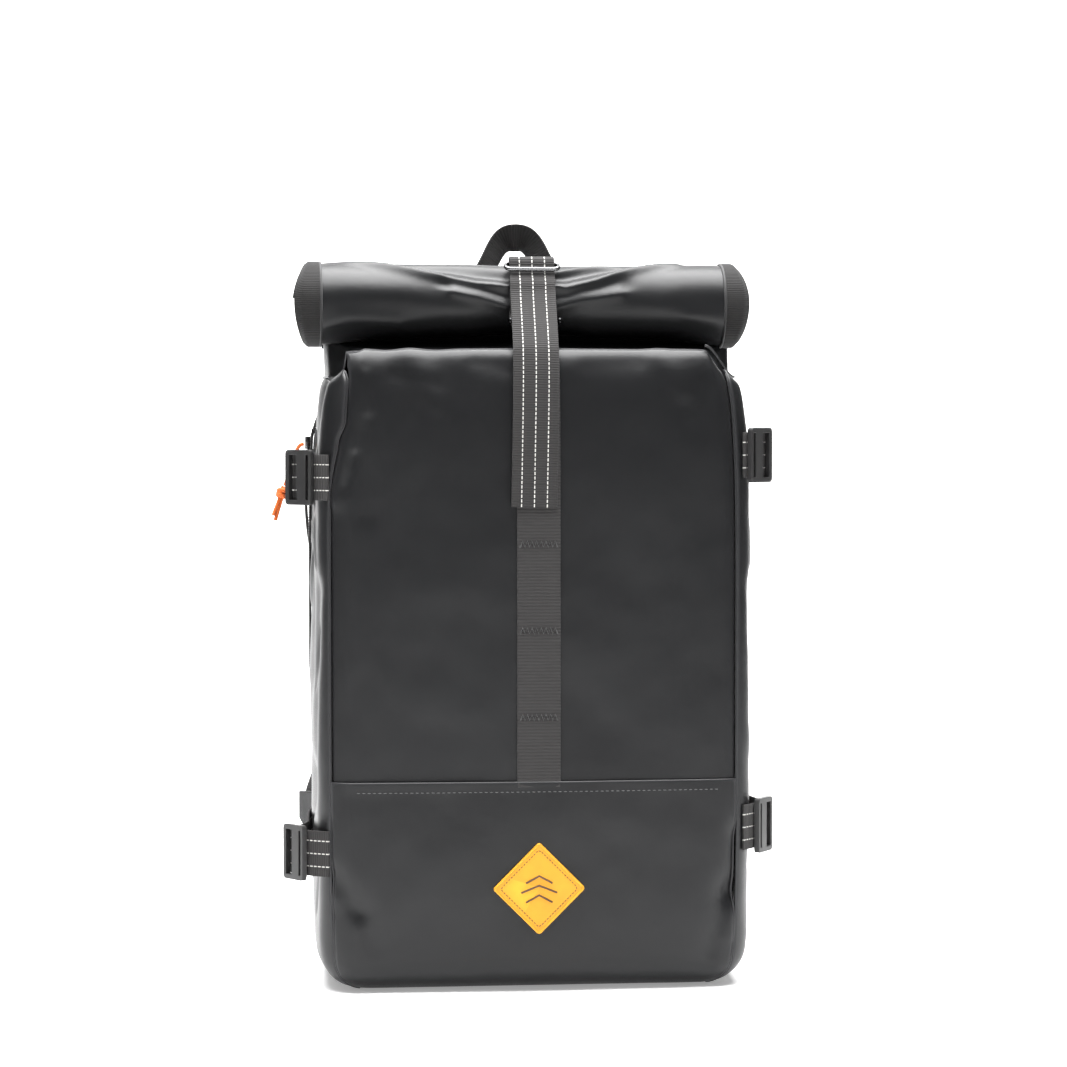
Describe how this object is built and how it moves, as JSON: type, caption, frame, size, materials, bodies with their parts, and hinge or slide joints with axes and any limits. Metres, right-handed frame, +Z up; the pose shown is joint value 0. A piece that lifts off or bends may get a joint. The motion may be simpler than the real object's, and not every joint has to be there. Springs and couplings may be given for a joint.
{
  "type": "rolltop backpack",
  "caption": "Tall rolltop backpack in coated fabric, closed by a webbing strap with a metal loop and hook over the rolled mouth",
  "frame": {"origin": "middle of the flat base, on the surface it stands on", "axes": "+Z up to the roll, -Y the front with the closure strap, +X to the right as seen from the front"},
  "size_m": [0.4237, 0.2451, 0.6554],
  "materials": {
    "coated_fabric": "waterproof coated cloth with a soft sheen",
    "webbing": "ribbed woven webbing",
    "padding_cloth": "padded matt cloth",
    "black_plastic": "moulded, slightly satin",
    "steel": "dark nickel, polished on top",
    "orange_cord": "braided cord",
    "patch_face": "moulded soft patch with a raised rim"
  },
  "bodies": {
    "root": {"front_panel": "coated_fabric", "lower_front_panel": "coated_fabric", "side_gusset_right": "coated_fabric", "side_gusset_left": "coated_fabric", "back_panel": "padding_cloth", "base_panel": "coated_fabric", "top_collar": "coated_fabric", "rolled_top": "coated_fabric", "roll_binding_left": "webbing", "roll_binding_right": "webbing", "closure_ring": "steel", "closure_anchor_strap": "webbing", "closure_hook": "steel", "closure_strap": "webbing", "daisy_strap": "webbing", "patch": "patch_face", "carry_handle": "webbing", "side_strap_upper_left": "webbing", "side_buckle_upper_left": "black_plastic", "side_strap_upper_right": "webbing", "side_buckle_upper_right": "black_plastic", "side_strap_lower_left": "webbing", "side_buckle_lower_left": "black_plastic", "side_strap_lower_right": "webbing", "side_buckle_lower_right": "black_plastic", "shoulder_strap_left": "padding_cloth", "shoulder_buckle_left": "black_plastic", "strap_wing_left": "webbing", "shoulder_webbing_left": "webbing", "shoulder_strap_right": "padding_cloth", "shoulder_buckle_right": "black_plastic", "strap_wing_right": "webbing", "shoulder_webbing_right": "webbing", "side_zip": "webbing", "zip_slider": "steel", "zip_pull_cord": "orange_cord", "zip_pull_knot": "orange_cord"}
  },
  "joints": []
}
